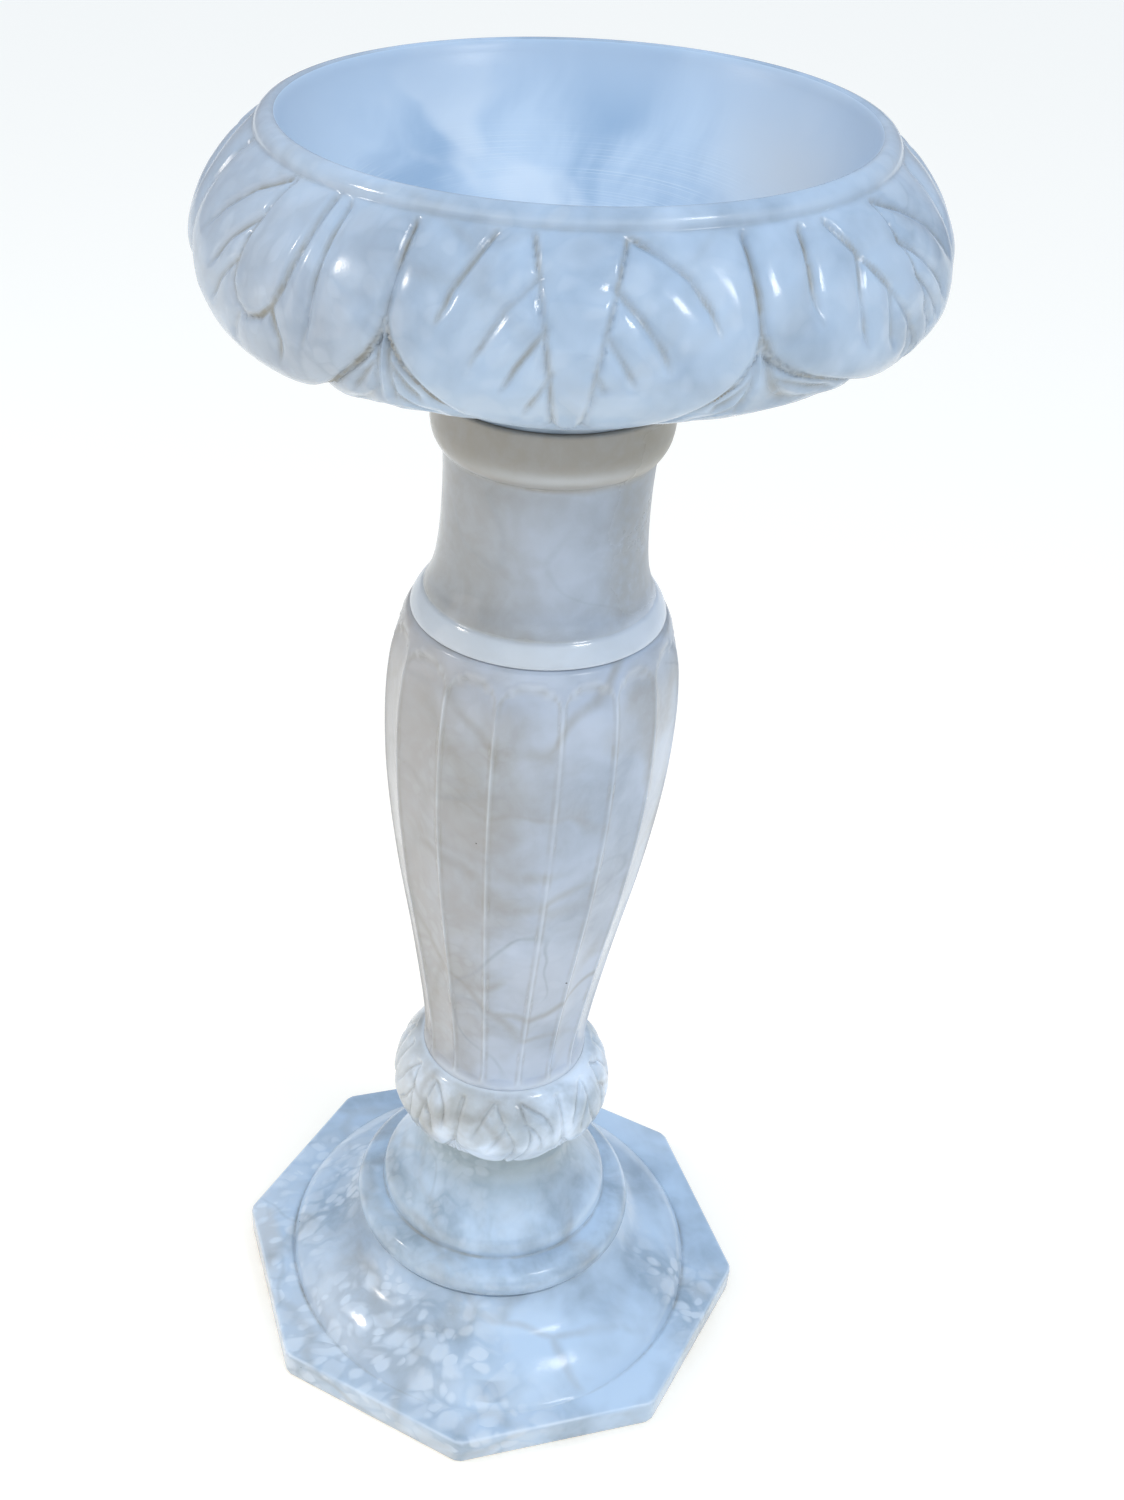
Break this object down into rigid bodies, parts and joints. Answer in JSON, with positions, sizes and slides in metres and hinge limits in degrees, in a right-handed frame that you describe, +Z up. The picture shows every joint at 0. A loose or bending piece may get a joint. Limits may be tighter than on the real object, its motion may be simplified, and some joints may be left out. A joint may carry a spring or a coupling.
{
  "type": "baptismal font",
  "caption": "Carved alabaster font: a shallow leaf-carved bowl that lifts off a fluted baluster pedestal with a leaf knop, domed foot and octagonal plinth.",
  "frame": {"origin": "middle of the plinth's underside, on the floor", "axes": "+Z up along the tie rod; X and Y square to two opposite pairs of the plinth's eight sides; the carved leaf at the front of the picture faces -Y, turned a little towards -X"},
  "size_m": [0.3993, 0.4003, 0.9],
  "materials": {
    "alabaster_bowl": "polished, cloudy white with pale grey veins",
    "alabaster_shaft": "polished, cloudy white with faint beige veins",
    "alabaster_knop": "polished, white clouds between tan veins",
    "alabaster_base": "polished, white clouds between grey veins",
    "setting_compound": "matt",
    "steel": "plain, dull",
    "brass": "plain, dull"
  },
  "bodies": {
    "pedestal": {"plinth": "alabaster_base", "foot_dome": "alabaster_base", "leaf_knop": "alabaster_knop", "shaft": "alabaster_shaft", "neck": "alabaster_shaft", "plinth_bed": "setting_compound", "foot_bed": "setting_compound", "knop_bed": "setting_compound", "shaft_bed": "setting_compound", "tie_rod": "steel", "top_washer": "steel", "top_nut": "steel", "bottom_washer": "steel", "bottom_nut": "steel"},
    "bowl": {"bowl": "alabaster_bowl", "socket_bush": "brass"}
  },
  "joints": [
    {"name": "bowl_lift", "type": "slide", "parent": "pedestal", "child": "bowl", "axis": [0, 0, 1], "range_m": [0, 0.12]}
  ]
}
